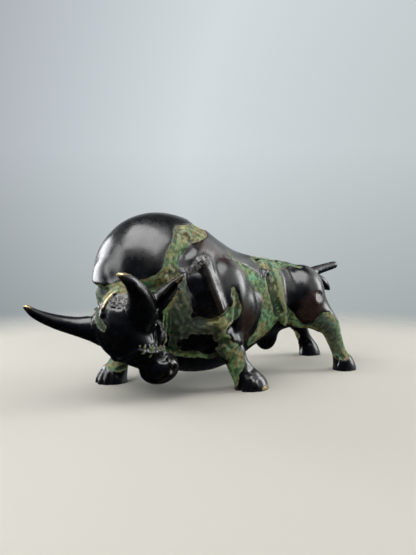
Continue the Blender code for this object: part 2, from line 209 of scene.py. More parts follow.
# Where the green patina lies, on both flanks and given for the left: x, y, z and half width along a path.
PATINA = (
    # over the spine, down between hump and shoulder, and round under the hump
    ((-17, 0, 104, 4), (-24, -10, 103, 5), (-31, -20, 99.5, 6), (-43.5, -25, 98.5, 7), (-52, -30, 91, 5.5),
     (-58, -33, 82.5, 5.5), (-61, -33.5, 75, 6), (-67, -34, 70, 5)),
    ((-65.5, -32, 71, 4.5), (-74, -29, 69, 4.5), (-84, -21, 67, 4.5), (-90.5, -14, 64, 6), (-92, -5, 60, 8)),
    # neck and throat
    ((-66, -37, 66, 5), (-58, -36, 58, 8), (-53.5, -34, 48.5, 9), (-51.5, -30.5, 39, 6.5),
     (-51, -24.5, 30, 4)),
    ((-54, -34, 74, 2), (-51, -36, 66, 4), (-49, -36, 57, 4)),
    ((-44, -33.5, 43, 5), (-33.5, -36.5, 42.5, 5), (-28.5, -42.5, 44.5, 5)),
    # the tongue at the arm, then over the knee to the hoof
    ((-19.5, -41.5, 65, 1.6), (-17.5, -41.5, 58, 2.8), (-17.5, -41, 50.5, 4.5), (-25, -42.5, 47, 5.5),
     (-28, -40.5, 40.5, 4), (-24.5, -36.5, 33, 5), (-21, -34.5, 26.5, 5), (-14, -38, 25.5, 4.2),
     (-12.8, -38.5, 19, 5), (-15.5, -36, 11.5, 4.5), (-12.5, -35, 4.5, 3)),
    # between the bands of the breast
    ((-54, -20, 27, 3), (-46.5, -23, 25.5, 2.6), (-36.5, -25, 24, 2.5), (-25, -24.5, 21, 2.5),
     (-20, -33, 23, 3)),
    # waist, back, flank and hind leg
    ((-7.5, -19, 88, 1.8), (-1, -24, 82, 3.5), (7.5, -21.5, 73.5, 5), (15, -22.5, 67, 6), (23, -23, 60.5, 8),
     (26, -23.5, 50, 9), (24.5, -22, 40, 9.5), (21, -20, 32.5, 7.5), (12, -20.5, 27, 4.5)),
    ((2, 0, 90, 2), (16, 0, 85, 4), (36, 0, 81.5, 8), (54, 0, 77.5, 4)),
    ((22, -12, 79.5, 4), (35.5, -14, 77.5, 5), (52, -10.5, 77, 3), (57, -18.5, 74.5, 1.6)),
    ((33.5, -18.5, 73, 4), (33, -23.5, 64, 4.5), (34, -25.5, 53, 4), (37.5, -24.5, 42.5, 5.5),
     (55, -19.5, 33, 4), (63, -25, 32, 4.5), (69, -31.5, 38, 5), (74, -31, 32, 8), (80, -31, 22, 9),
     (86, -31, 13, 7)),
)
# Patina on one side only: the far fore and hind legs, the poll, and the ring at the far horn's root.
ODD_PATINA = (
    ((-53, 31, 30, 9), (-59, 30, 20, 9), (-63, 29, 13, 8), (-65.5, 28.5, 10, 6)),
    ((88, 26, 30, 7), (98, 28, 18, 6.5), (103, 28, 12, 5)),
    ((-92, -16, 66, 3.6), (-93.5, -10, 62, 4), (-95, -4, 57, 4.5)),
    ((-86, -12, 62, 6), (-90, -2, 58, 10), (-86, 8, 60, 8)),
    ((-99.5, -17, 56, 2.6), (-101, -21, 51, 3), (-100, -26, 46.5, 2)),
    ((-61.5, -31.5, 50, 2), (-59.5, -29.5, 41, 3.5), (-61, -32, 33, 2.5)),
)
# Polished plates left standing inside the patina, on both flanks: knee, breast and back.
PLATES = (
    ((-20.5, -41, 41, 2.8), (-16, -39, 36.5, 3.2), (-12, -37.5, 31, 2)),
    ((-49, -29, 32.5, 3.5), (-36.5, -30.5, 32, 4), (-27, -31.5, 30, 3.2)),
    ((4, -10, 86.5, 2.2), (12.5, -12, 82, 3.4), (19.5, -15, 77, 2)),
)
# Pale rough scars in the polish, their pale grey partly painted highlight for glints: the edge of the
# shoulder's flat, and the crumpled brow.
SCAR_AND_GLINT_PATHS = (
    ((-52, -33.5, 77.5, 1.2), (-46, -32.5, 76.5, 1.8), (-41, -33, 79.5, 2.4), (-36.5, -33.5, 83.5, 2.4),
     (-31, -33.5, 84, 1.6)),
    ((-93, -25, 62, 2.6), (-90.5, -28, 61.5, 3.6), (-89, -32, 61.5, 2.4)),
    ((-74, -37, 66, 2.5), (-72, -34, 65, 3)),
)
# Where shade is painted on the patina, darkening it most: the neck, the throat and the breast.
PAINTED_SHADE_PATHS = (
    ((-57, -36, 54, 4), (-52, -34, 46, 8), (-50, -30, 36, 8), (-36, -32, 36, 7), (-24, -30, 22, 8)),
    ((-54, -34, 72, 3), (-50, -36, 62, 6), (-40, -34, 44, 5), (-30, -36, 38, 6)),
    ((-86, -4, 60, 8), (-92, 0, 54, 8)),
    ((-60, 33, 10, 9), (-58, 31, 20, 7)),
    ((56, -24, 36, 4), (70, -31, 34, 6), (80, -31, 16, 5)),
    ((-99.5, -20, 54, 5), (-100, -26, 46.5, 4)),
)
# Where the polish is worn to brown.
BROWNS = (
    ((-31, -28, 91, 6), (-11, -31.5, 81.5, 6), (-6, -36, 68, 3)),
    ((-9, -38, 52, 5), (-2, -36, 40, 6), (4, -28, 30, 5)),
    ((60, -30, 50, 9), (55, -28, 42, 7)),
)
# Where the metal is rubbed bright: tips of horns and ear, the rim of the brow and a hoof's toe.
GOLDS = (
    ((-135, -0.4, 60, 2), (-131, 0, 58, 0.8)),
    ((-105, -50, 79, 1.4), (-100, -50, 78.5, 1.6), (-95, -49.5, 77, 0.8)),
    ((-66, -57, 77, 1.2), (-68, -54, 73, 0.6), (-70, -50, 67, 0.5)),
    ((-99.3, -25, 56.8, 0.1), (-96.6, -23.5, 60.5, 0.5), (-92.8, -22.4, 63.7, 0.5),
     (-88.8, -22.3, 66.3, 0.1)),
    ((5.5, -45, 1.5, 1.6), (0, -48, 1.5, 1), (8.5, -38, 1.5, 1)),
)
# Finer tool strokes on both flanks, given for the left: path, half width, depth.
FLANK_CUTS = (
    # the crease down the shoulder blade and the hollow in front of it
    (((-37, -34, 82), (-35.5, -36.5, 75.5), (-34, -38.5, 68.5), (-32, -41, 61), (-29.5, -43, 52.5)),
     3.4, 1.7),
    (((-41, -34.5, 79), (-39.5, -36, 70), (-38, -37.5, 61), (-35, -39, 52)), 4, -1.2),
    # the flat above it filled up, its rough upper edge, and its lower edge
    (((-47, -29.5, 91), (-45, -31.5, 84.5)), 9, 2),
    (((-52, -33.5, 78), (-46, -32.5, 77.5), (-41, -33, 80.5), (-36, -33.5, 84.5)), 2.2, 0.6),
    (((-47, -34, 74), (-43, -34, 75.5), (-39, -34.5, 78.5)), 2.4, -0.5),
    (((-44.5, -34.5, 50), (-36, -34.5, 46.5), (-31, -40, 47)), 2.2, -1.2),
    # locks of the neck
    (((-60, -37, 62), (-55.5, -35, 54), (-51, -34.5, 46.5)), 2, 0.8),
    (((-60, -34.5, 55), (-57, -34, 48), (-50, -33.5, 41)), 2.2, 0.6),
    (((-54, -37, 66), (-52, -36.5, 60), (-47.5, -36, 55), (-41.5, -34, 49.5)), 2.2, 0.9),
    (((-56, -33, 46), (-51, -31.5, 40), (-49, -28, 31.5)), 2.2, 0.7),
    (((-47, -35, 49), (-41, -34.5, 44), (-34, -36, 41)), 2, 0.7),
    # ridges between the bands of the breast
    (((-46.5, -24, 27.5), (-36, -27, 27.5), (-26, -29, 25.5), (-22, -35.5, 29.5)), 1.8, 1),
    # the plate on the knee
    (((-21, -41, 42), (-16.5, -39.5, 36.5), (-12.5, -38, 31)), 4.4, 1),
    # the flank's fold and the groove before it
    (((33.5, -18.5, 73), (33.5, -23.5, 64), (34.5, -25.5, 53), (38, -25, 45)), 2.6, 1.2),
    (((28.5, -22, 65), (29.5, -24, 55), (34.5, -24, 45)), 2.6, -2),
    # nodules in the channel
    (((-46, -24.5, 100), (-41.5, -23, 99.5), (-38.5, -24, 96.5)), 2, 1.5),
    (((-49, -26, 97.5), (-50, -28, 93.5), (-49.5, -29, 91.5)), 2.4, 1.6),
    (((-60, -33.5, 80), (-57.5, -33.5, 77.5)), 2.2, 1.3),
    (((-62, -33, 74), (-60.5, -34, 71)), 2, 1.2),
)
# Finer strokes on both sides of the head, in the head's own directions.
FACE_CUTS = (
    # ball of the eye
    (((-7.7, 15.5, -9), (-7.2, 15.5, -11.5)), 1.5, 1.3),
    # folds above the eye
    (((-3, 22, 0), (-6, 17, -3)), 1.2, 0.9),
    (((-12, 20, 0), (-9.5, 16, -3)), 1.2, 0.9),
    # hair of the cheek
    (((-14, 17.8, -1), (-14.2, 15.1, -6.4), (-12.8, 15.6, -12.2), (-10.5, 14.8, -18.3)), 1.1, 1),
    (((-15.5, 19.7, 0), (-17, 15.8, -6.1), (-16.2, 14.1, -12), (-13.5, 14.5, -18.1)), 1.1, 1),
    (((-17, 21, 0), (-19, 17, -7), (-20.5, 13, -12.1), (-23, 10, -18.2)), 1.2, 1),
    # nostril
    (((-11.5, 15.1, -25.7), (-10.7, 16.5, -27.8), (-11.5, 17.1, -30), (-14.4, 17.2, -30.8)), 1.4, 1.1),
    # flutes along the horn
    (((6.6, 23.2, -0.9), (14.8, 28.5, 9), (22.8, 30.7, 16.4)), 1.1, -0.5),
    (((3.1, 24.2, -0.4), (11.1, 29.9, 8.9), (20.3, 32.4, 16.3)), 1.1, 0.5),
)
# Strokes of one side alone: the brow's rim, the ring at the far horn, the left ear's hollow and rims.
ODD_FACE_CUTS = (
    (((17.9, 2.2, 10.6), (15, 2.9, 14.3), (11, 4.1, 17.2), (7.2, 6.1, 19.3)), 1.5, 1.3),
    (((17, -3.5, 9.5), (19.5, -1, 5), (20, 1.5, 0)), 1.8, 1.2),
    (((19.5, 2.5, 6), (19.8, 5, 1), (18.5, 7, -4)), 1.6, -1),
    (((0.3, 27, 3.4), (-0.5, 32, 6.2), (-2, 37.5, 10), (-3.8, 42, 13.2)), 2.2, -1.4),
    (((0.8, 27.2, 8), (-2.3, 31.6, 10.8), (-4.7, 38, 14.9), (-4.5, 44, 16.4)), 1.3, 0.9),
    (((-1.4, 29.4, 0.6), (-3, 35.5, 4.2), (-4, 40.4, 8), (-4.6, 45, 13.4)), 1.3, 0.9),
)
BROW = (11.3, 9.5, 13)          # middle of the crumpled patch, in the head's own directions
BROW_RADIUS, BROW_DEPTH = 7, 2
# The fringe over the muzzle, on each side of the head: the ends of its line, then its tufts.
FRINGE = ((6.5, 12.5, -15), (-15.5, 13.5, -18.5))
TUFTS, TUFT_LENGTH, TUFT_WIDTH, TUFT_RISE = 8, 5, 1.3, 1.4
TUFT_SWING = 2.8        # the most that a tuft's tip swings forward or back
FRINGE_PATINA = 0.4     # half width of the patina on each tuft
# Flat facets on both flanks, given for the left: middle, radius, the way they face, how deep they lie.
FACETS = (
    ((-20, -39.2, 38.5), 6, (0.24, -0.95, 0.18), 0),           # knee, upper and lower part
    ((-15.5, -39.1, 33), 6, (0.24, -0.95, 0.18), 0),
    ((-42, -34.4, 67.5), 8.5, (-0.25, -0.97, 0.05), 0),        # in front of the shoulder blade
    ((-5, -40, 14.5), 4.4, (0.3, -0.93, 0.25), 0.1),           # shin
    ((-4.5, -46.4, 5.5), 3.4, (0.24, -0.93, 0.25), 0.1),       # hoof
    ((62, -31.5, 53), 6, (0.2, -0.96, 0.14), 0.1),             # haunch
)
FLUTE = (11, 8.5, 1.8, -0.9)    # of a hoof: reach at the sole and at the top, half width, depth
FLUTE_ANGLES = (-62, -34, 34, 62)


def past_edge(points, path):
    """How far each point lies outside a path whose half width changes along it, in the same units."""
    line = spline(path, 6)
    near = np.full(len(points), 1e9)
    for start, end in zip(line, line[1:]):
        along = end[:3] - start[:3]
        share = np.clip((points - start[:3]) @ along / (along @ along), 0, 1)
        gap = np.linalg.norm(points - start[:3] - share[:, None] * along, axis=1)
        near = np.minimum(near, gap - start[3] - share * (end[3] - start[3]))
    return near


def outside(points, paths, both=True):
    """How far each point lies outside all the paths, and their mirror images if both flanks have them."""
    near = np.full(len(points), 1e9)
    for path in paths:
        near = np.minimum(near, past_edge(points, path))
        if both:
            near = np.minimum(near, past_edge(points, [(x, -y, z, half) for x, y, z, half in path]))
    return near


def lumps(points, size, seed):
    """Smooth noise between about -1 and 1 at each point, with lumps of that size."""
    shift = Vector((seed, 2 * seed, -seed))
    return np.array([noise.noise(Vector(point) / size + shift) for point in points])


def mirrored(place):
    """The same place or direction on the other flank."""
    return (place[0], -place[1], place[2])


def facet(points, middle, radius, facing, sunk):
    """Brings the points round a place onto one plane, fully near its middle and not at all at its edge."""
    facing = np.array(facing) / np.linalg.norm(facing)
    near = np.linalg.norm(points - np.array(middle), axis=1) / radius
    fade = np.clip(1.6 * (1 - near * near), 0, 1)
    fade = fade * fade * (3 - 2 * fade)
    height = (points - np.array(middle)) @ facing + sunk
    points -= facing * (fade * height)[:, None]


def tufts():
    """Ridges of the fringe, each hanging from its line with a slight swing to one side or the other."""
    start, end = Vector(FRINGE[0]), Vector(FRINGE[1])
    for index in range(TUFTS):
        top = start.lerp(end, index / (TUFTS - 1))
        swing = TUFT_SWING * math.sin(2.4 * index)
        middle = top + Vector((swing / 2, 0.5, -TUFT_LENGTH / 2))
        tip = top + Vector((swing, -1.5, -TUFT_LENGTH))
        yield (top, middle, tip), TUFT_WIDTH, TUFT_RISE


def hoof_flutes():
    """Shallow flutes down the front of every hoof."""
    reach_low, reach_high, width, depth = FLUTE
    for x, y, turn in HOOVES:
        for angle in FLUTE_ANGLES:
            way = Euler((0, 0, math.radians(turn + angle))).to_matrix() @ Vector((-1, 0, 0))
            foot = Vector((x, y, 0))
            low, high = foot + way * reach_low, foot + way * reach_high
            yield [low + Vector((0, 0, 0.5)), high + Vector((0, 0, 9))], width, depth


def fringe_patina():
    """Paths of the patina down the tufts of the fringe, with their half widths."""
    for sign in (1, -1):
        for path, *_ in tufts():
            yield [(*head_point(point, sign), FRINGE_PATINA) for point in path]


def fine_strokes():
    """Every stroke that the dressed piece has beyond those of the form."""
    for path, width, depth in FLANK_CUTS:
        yield path, width, depth
        yield [(x, -y, z) for x, y, z in path], width, depth
    for path, width, depth in (*FACE_CUTS, *tufts()):
        yield [head_point(point) for point in path], width, depth
        yield [head_point(point, -1) for point in path], width, depth
    for path, width, depth in ODD_FACE_CUTS:
        yield [head_point(point) for point in path], width, depth
    yield from hoof_flutes()


def spline(rows, steps):
    """Rows of numbers joined by a smooth curve through all of them, with steps points from row to row."""
    rows = np.array(rows, float)
    padded = np.vstack([2 * rows[0] - rows[1], rows, 2 * rows[-1] - rows[-2]])
    found = []
    for a, b, c, d in zip(padded, padded[1:], padded[2:], padded[3:]):
        for t in np.linspace(0, 1, steps, endpoint=False):
            straight = 2 * b + (c - a) * t
            bent = (2 * a - 5 * b + 4 * c - d) * t**2 + (3 * b - a - 3 * c + d) * t**3
            found.append((straight + bent) / 2)
    return np.array(found + [rows[-1]])


def ellipsoid(clay, centre, radii, turn=(0, 0, 0)):
    """A rounded mass: its centre, its three half sizes, and its turn about x, y and z in degrees."""
    made = bmesh.ops.create_uvsphere(clay, u_segments=64, v_segments=40, radius=1.0)
    turned = Euler([math.radians(angle) for angle in turn])
    place = Matrix.LocRotScale(Vector(centre) * UNIT, turned, Vector(radii) * UNIT)
    bmesh.ops.transform(clay, matrix=place, verts=made["verts"])


def limb(clay, stations, side, around=40, steps=8, dome=1.0, facing=None):
    """A limb lofted through its stations, with rounded ends.

    Each station is a centre x, y, z, then the half width along side and the half depth across it.
    The ends rise by dome times the smaller half size. The sections face along the limb, or the way given.
    """
    rows = spline(stations, steps)
    tangents = np.gradient(rows[:, :3], axis=0)
    tangents /= np.linalg.norm(tangents, axis=1)[:, None]
    if facing:
        tangents[:] = facing
    ends = []
    for row, tangent, outward in ((rows[0], tangents[0], -1), (rows[-1], tangents[-1], 1)):
        rise = dome * min(row[3], row[4])
        cap = []
        for angle in np.linspace(0, math.pi / 2, 7)[1:-1]:
            moved = row.copy()
            moved[:3] += tangent * outward * rise * math.sin(angle)
            moved[3:] *= math.cos(angle)
            cap.append((moved, tangent))
        ends.append(cap)
    rings = ends[0][::-1] + list(zip(rows, tangents)) + ends[1]
    made = []
    for row, tangent in rings:
        across = np.array(side, float) - tangent * np.dot(side, tangent)
        across /= np.linalg.norm(across)
        depth = np.cross(tangent, across)
        ring = []
        for angle in np.linspace(0, 2 * math.pi, around, endpoint=False):
            point = row[:3] + across * row[3] * math.cos(angle) + depth * row[4] * math.sin(angle)
            ring.append(clay.verts.new(Vector(point) * UNIT))
        made.append(ring)
    for low, high in zip(made, made[1:]):
        for i in range(around):
            j = (i + 1) % around
            clay.faces.new((low[i], low[j], high[j], high[i]))
    clay.faces.new(made[0][::-1])
    clay.faces.new(made[-1])


def fused(name, clay, voxel, rounds):
    """One skin over all the masses in clay, with the joins between them smoothed in so many rounds."""
    mesh = bpy.data.meshes.new(name)
    clay.to_mesh(mesh)
    clay.free()
    body = bpy.data.objects.new(name, mesh)
    bpy.context.scene.collection.objects.link(body)
    skin = body.modifiers.new("one skin", "REMESH")
    skin.mode = "VOXEL"
    skin.voxel_size = voxel
    skin.use_smooth_shade = True
    soften = body.modifiers.new("soft joins", "SMOOTH")
    soften.factor = 0.5
    soften.iterations = rounds
    graph = bpy.context.evaluated_depsgraph_get()
    made = bpy.data.meshes.new_from_object(body.evaluated_get(graph))
    bpy.data.objects.remove(body)
    return made


def stroke(points, normals, path, width, depth):
    """Moves points in or out of the surface along a path, most at its middle and none at its edges."""
    line = spline(path, 10)
    near = np.full(len(points), 1e9)
    for start, end in zip(line, line[1:]):
        along = end - start
        share = np.clip((points - start) @ along / (along @ along), 0, 1)
        near = np.minimum(near, np.linalg.norm(points - start - share[:, None] * along, axis=1))
    fade = np.clip(1 - (near / width) ** 2, 0, 1) ** 2
    points += normals * (fade * depth)[:, None]


def hoof_strokes():
    """The cleft and the coronet ring of every hoof."""
    for x, y, turn in HOOVES:
        toe = Euler((0, 0, math.radians(turn))).to_matrix() @ Vector((-1, 0, 0))
        foot = Vector((x, y, 0))
        path, width, depth = CLEFT
        yield [foot + toe * reach + Vector((0, 0, up)) for reach, up in path], width, depth
        reach, up, width, depth = CORONET
        turns = [Euler((0, 0, math.radians(angle))) for angle in range(0, 361, 30)]
        spokes = [step.to_matrix() @ toe * reach for step in turns]
        yield [foot + spoke + Vector((0, 0, up)) for spoke in spokes], width, depth


def strokes():
    """Every tool stroke of the body, the head, the ear, the brow and the hooves."""
    for path, width, depth in BODY_STROKES:
        yield path, width, depth
        yield [(x, -y, z) for x, y, z in path], width, depth
    for path, width, depth in HEAD_STROKES:
        yield [head_point(point) for point in path], width, depth
        yield [head_point(point, -1) for point in path], width, depth
    for path, width, depth in (EAR_HOLLOW, BROW_CREST):
        yield [head_point(point) for point in path], width, depth
    yield from hoof_strokes()


def surface_of(mesh):
    """The mesh's points, in units, and its normals."""
    points = np.empty(len(mesh.vertices) * 3)
    mesh.vertices.foreach_get("co", points)
    normals = np.empty(len(mesh.vertices) * 3)
    mesh.vertex_normals.foreach_get("vector", normals)
    return points.reshape(-1, 3) / UNIT, normals.reshape(-1, 3)


def carve(mesh):
    """Presses all the strokes into the mesh."""
    points, normals = surface_of(mesh)
    for path, width, depth in strokes():
        stroke(points, normals, path, width, depth)
    mesh.vertices.foreach_set("co", (points * UNIT).ravel())


def sculpture(name, voxel):
    """The whole bull as one fine mesh, before its soles are cut flat."""
    clay = bmesh.new()
    body_masses(clay)
    body = fused(name, clay, voxel, BODY_ROUNDS)
    clay = bmesh.new()
    clay.from_mesh(body)
    detail_masses(clay)
    mesh = fused(name, clay, voxel, DETAIL_ROUNDS)
    carve(mesh)
    return mesh


BODY_ROUNDS, DETAIL_ROUNDS = 30, 5   # rounds of smoothing at the joins
FINE_VOXEL = 0.00118
HEAD_ROUND = ((-84, -26, 46), 31)    # middle and radius of the part with a finer mesh
LUMPS = ((7, 11), (3, 5), (1.8, 3))  # size and seed of the broad, the fine and the small lumps
PATINA_DEPTH = 0.55                  # how far the patina lies below the polished plates
PATINA_SLOPE = 2.6                   # width of the slope down to it
EDGE_WANDER = 1.3                    # how far its edges stray from the plain paths

# Colours of the patina: two ramps over noise, its spots, its painted shade in shadow and in hollows, its
# painted crest highlight.
GREENS = ((0.32, (0.016, 0.062, 0.016)), (0.44, (0.065, 0.17, 0.045)), (0.55, (0.14, 0.28, 0.085)),
          (0.68, (0.24, 0.45, 0.19)))
OCHRES = ((0.32, (0.08, 0.065, 0.016)), (0.5, (0.27, 0.23, 0.07)), (0.68, (0.48, 0.44, 0.16)))
RUST = (0.3, 0.12, 0.04)
TEAL = (0.075, 0.34, 0.19)
# painted shade: the patina's colour where shade is painted on the neck, throat and breast
SHADE = (0.012, 0.028, 0.014)
# painted shade in the patina's hollows
HOLLOW_SHADE = (0.01, 0.025, 0.012)
# painted highlight on the patina's crests
CREST_HIGHLIGHT_COLOUR = (0.34, 0.38, 0.2)
# Colours of the polish, of the rim round it and of what shows where it is worn; the scars' pale grey is
# partly painted highlight.
BLACK = (0.0015, 0.002, 0.003)
BROWN = (0.032, 0.017, 0.012)
DUSK = (0.014, 0.01, 0.008)
RIM = (0.26, 0.21, 0.1)
RUBBED = (0.12, 0.085, 0.05)
# pale scar colour, partly a painted highlight standing for glints on the crumpled brow
PALE_SCAR_AND_GLINT = (0.36, 0.35, 0.34)
GOLD = (0.5, 0.39, 0.2)
POLISH = (0.22, 0.32)                # least and most roughness of the polish
PATINA_ROUGHNESS = 0.5               # how much rougher the patina is
SHINE = 0.52                         # specular level of polish and patina alike
GRAIN_DEPTH = 0.0009

EYE_AT, EYE_DOWN, EYE_TURN = (-276, -381, 107), 4.7, -35    # place in units, then degrees
LENS = 45.4                          # focal length in millimetres on a frame of 36
FLOOR_RADIUS = 0.42
FLOOR_FADE = 0.55                    # share of the radius where the floor starts to fade
FLOOR_CREAM = (0.56, 0.54, 0.475)
FLOOR_FAR = (0.58, 0.57, 0.51)       # what lies beyond its edge when seen from above
BRIGHT_SIDE = 20                     # azimuth of the brightest part of the surround, in degrees
WALL = ((0.79, (0.4, 0.43, 0.46)), (0.9, (0.66, 0.71, 0.74)), (1.0, (0.5, 0.54, 0.55)))
DARK_ROOM = ((0.0, (0.03, 0.04, 0.065)), (0.6, (0.04, 0.05, 0.07)))
LAMPS_FACE = (0, 0, 0.06)            # the place that every lamp faces


def whole_bull():
    """The bull as a fine mesh before its finish, finer still at the head."""
    mesh = sculpture("cast bull", FINE_VOXEL)
    clay = bmesh.new()
    clay.from_mesh(mesh)
    middle, radius = HEAD_ROUND
    middle = Vector(middle) * UNIT
    near = [face for face in clay.faces if (face.calc_center_median() - middle).length < radius * UNIT]
    edges = {edge for face in near for edge in face.edges}
    bmesh.ops.subdivide_edges(clay, edges=list(edges), cuts=1, smooth=0.3, use_grid_fill=True)
    bmesh.ops.triangulate(clay, faces=[face for face in clay.faces if len(face.verts) > 4])
    clay.to_mesh(mesh)
    clay.free()
    return mesh


def flat_soles(mesh):
    """Cuts the legs level with the ground and closes the soles."""
    clay = bmesh.new()
    clay.from_mesh(mesh)
    everything = clay.verts[:] + clay.edges[:] + clay.faces[:]
    cut = bmesh.ops.bisect_plane(clay, geom=everything, dist=1e-7, plane_co=(0, 0, 0), plane_no=(0, 0, -1),
                                 clear_outer=True)
    rims = [item for item in cut["geom_cut"] if isinstance(item, bmesh.types.BMEdge)]
    filled = bmesh.ops.holes_fill(clay, edges=rims, sides=0)
    bmesh.ops.triangulate(clay, faces=filled["faces"])
    clay.to_mesh(mesh)
    clay.free()


def crests(mesh, points, normals):
    """How far each point stands out from its neighbours, as a share of the mean edge."""
    ends = np.empty(len(mesh.edges) * 2, int)
    mesh.edges.foreach_get("vertices", ends)
    ends = ends.reshape(-1, 2)
    total, used = np.zeros((len(points), 3)), np.zeros(len(points))
    for here, there in (ends.T, ends.T[::-1]):
        np.add.at(total, here, points[there])
        np.add.at(used, here, 1)
    spread = np.linalg.norm(points[ends[:, 0]] - points[ends[:, 1]], axis=1).mean()
    return ((points - total / used[:, None]) * normals).sum(axis=1) / spread


def finish_surface(mesh):
    """Cuts the fine strokes, presses the patina in, and writes where each kind of surface lies and where
    shade is painted.
    """
    points, normals = surface_of(mesh)
    broad, fine, small = [lumps(points, size, seed) for size, seed in LUMPS]
    fringe = [*fringe_patina()]
    patina = np.minimum(outside(points, PATINA), outside(points, [*ODD_PATINA, *fringe], both=False))
    patina = np.maximum(patina + EDGE_WANDER * broad + 0.4 * fine, -outside(points, PLATES) - 0.3 * fine)
    fields = {
        "patina": patina,
        # the scars, whose pale colour is partly painted highlight
        "scar_and_glint": outside(points, SCAR_AND_GLINT_PATHS, both=False),
        "brown": outside(points, BROWNS) + 2 * broad,
        # where shade is painted on the patina: the listed paths and the tufts of the fringe
        "dim": np.minimum(outside(points, PAINTED_SHADE_PATHS), outside(points, fringe, both=False)) + 2 * broad,
        "gold": outside(points, GOLDS, both=False),
    }
    for path, width, depth in fine_strokes():
        stroke(points, normals, path, width, depth)
    for middle, radius, facing, depth in FACETS:
        facet(points, middle, radius, facing, depth)
        facet(points, mirrored(middle), radius, mirrored(facing), depth)
    sunk = np.clip(0.5 - patina / PATINA_SLOPE, 0, 1)
    sunk = sunk * sunk * (3 - 2 * sunk)
    points += normals * (sunk * (fine * 0.55 + broad * 0.3 + small * 0.15 - PATINA_DEPTH))[:, None]
    for sign in (1, -1):
        near = np.linalg.norm(points - np.array(head_point(BROW, sign)), axis=1) / BROW_RADIUS
        crumple = np.clip(1 - near * near, 0, 1) * BROW_DEPTH
        points += normals * (crumple * (np.abs(small) * 1.6 + np.abs(fine) - 0.8))[:, None]
    # how far each point stands out, which sets the painted shade in hollows and painted highlights on crests
    fields["crest"] = crests(mesh, points, normals)
    mesh.vertices.foreach_set("co", (points * UNIT).ravel())
    for name, values in fields.items():
        mesh.attributes.new(name, "FLOAT", "POINT").data.foreach_set("value", values.astype(np.float32))


class Nodes:
    """Short ways to add and join nodes in one tree."""

    def __init__(self, tree):
        self.tree = tree

    def add(self, kind, **settings):
        """A new node with these settings."""
        node = self.tree.nodes.new(kind)
        for name, value in settings.items():
            setattr(node, name, value)
        return node

    def join(self, source, target):
        """A link from an output to an input."""
        self.tree.links.new(source, target)

    def math(self, what, first, second=None, third=None, clamp=False):
        """The outcome of one step of arithmetic on numbers or sockets."""
        node = self.add("ShaderNodeMath", operation=what, use_clamp=clamp)
        for socket, value in zip(node.inputs, (first, second, third)):
            if value is None:
                continue
            if isinstance(value, (int, float)):
                socket.default_value = value
            else:
                self.join(value, socket)
        return node.outputs[0]

    def noise(self, place, size, detail=3.0, roughness=0.55):
        """Noise with lumps of about that many millimetres."""
        node = self.add("ShaderNodeTexNoise")
        node.inputs["Scale"].default_value = 1000 / size
        node.inputs["Detail"].default_value = detail
        node.inputs["Roughness"].default_value = roughness
        self.join(place, node.inputs["Vector"])
        return node.outputs["Fac"]

    def between(self, value, low, high, out_low=0.0, out_high=1.0):
        """Smoothly from out_low to out_high as value goes from low to high."""
        node = self.add("ShaderNodeMapRange", interpolation_type="SMOOTHSTEP")
        node.inputs["From Min"].default_value = low
        node.inputs["From Max"].default_value = high
        node.inputs["To Min"].default_value = out_low
        node.inputs["To Max"].default_value = out_high
        self.join(value, node.inputs["Value"])
        return node.outputs["Result"]

    def ramp(self, value, *stops):
        """A colour by value, from stops of place and colour."""
        node = self.add("ShaderNodeValToRGB")
        band = node.color_ramp
        while len(band.elements) < len(stops):
            band.elements.new(0.5)
        for element, (place, colour) in zip(band.elements, stops):
            element.position = place
            element.color = (*colour, 1)
        self.join(value, node.inputs["Fac"])
        return node.outputs["Color"]

    def mix(self, share, first, second, how="MIX"):
        """The second colour laid over the first by that share."""
        node = self.add("ShaderNodeMix", data_type="RGBA", blend_type=how)
        for socket, value in ((node.inputs[0], share), (node.inputs[6], first), (node.inputs[7], second)):
            if isinstance(value, (int, float)):
                socket.default_value = value
            elif isinstance(value, tuple):
                socket.default_value = (*value, 1)
            else:
                self.join(value, socket)
        return node.outputs[2]

    def field(self, name):
        """A number that finish_surface wrote on the mesh."""
        return self.add("ShaderNodeAttribute", attribute_name=name).outputs["Fac"]


def patina_group():
    """Colour of the green patina: dark green, grey-green and teal, with ochre and rust."""
    group = bpy.data.node_groups.new("green patina", "ShaderNodeTree")
    group.interface.new_socket("Place", in_out="INPUT", socket_type="NodeSocketVector")
    group.interface.new_socket("Colour", in_out="OUTPUT", socket_type="NodeSocketColor")
    n = Nodes(group)
    place = n.add("NodeGroupInput").outputs[0]
    out = n.add("NodeGroupOutput").inputs[0]
    green = n.ramp(n.noise(place, 11, 7, 0.66), *GREENS)
    ochre = n.ramp(n.noise(place, 4.5, 6, 0.68), *OCHRES)
    rust = n.between(n.noise(place, 5, 4), 0.58, 0.66)
    teal = n.between(n.noise(place, 8, 6), 0.56, 0.63)
    colour = n.mix(n.between(n.noise(place, 17, 5), 0.42, 0.58, 0, 0.9), green, ochre)
    colour = n.mix(n.math("MULTIPLY", rust, 0.6), colour, RUST)
    colour = n.mix(n.math("MULTIPLY", teal, 0.8), colour, TEAL)
    n.join(colour, out)
    return group


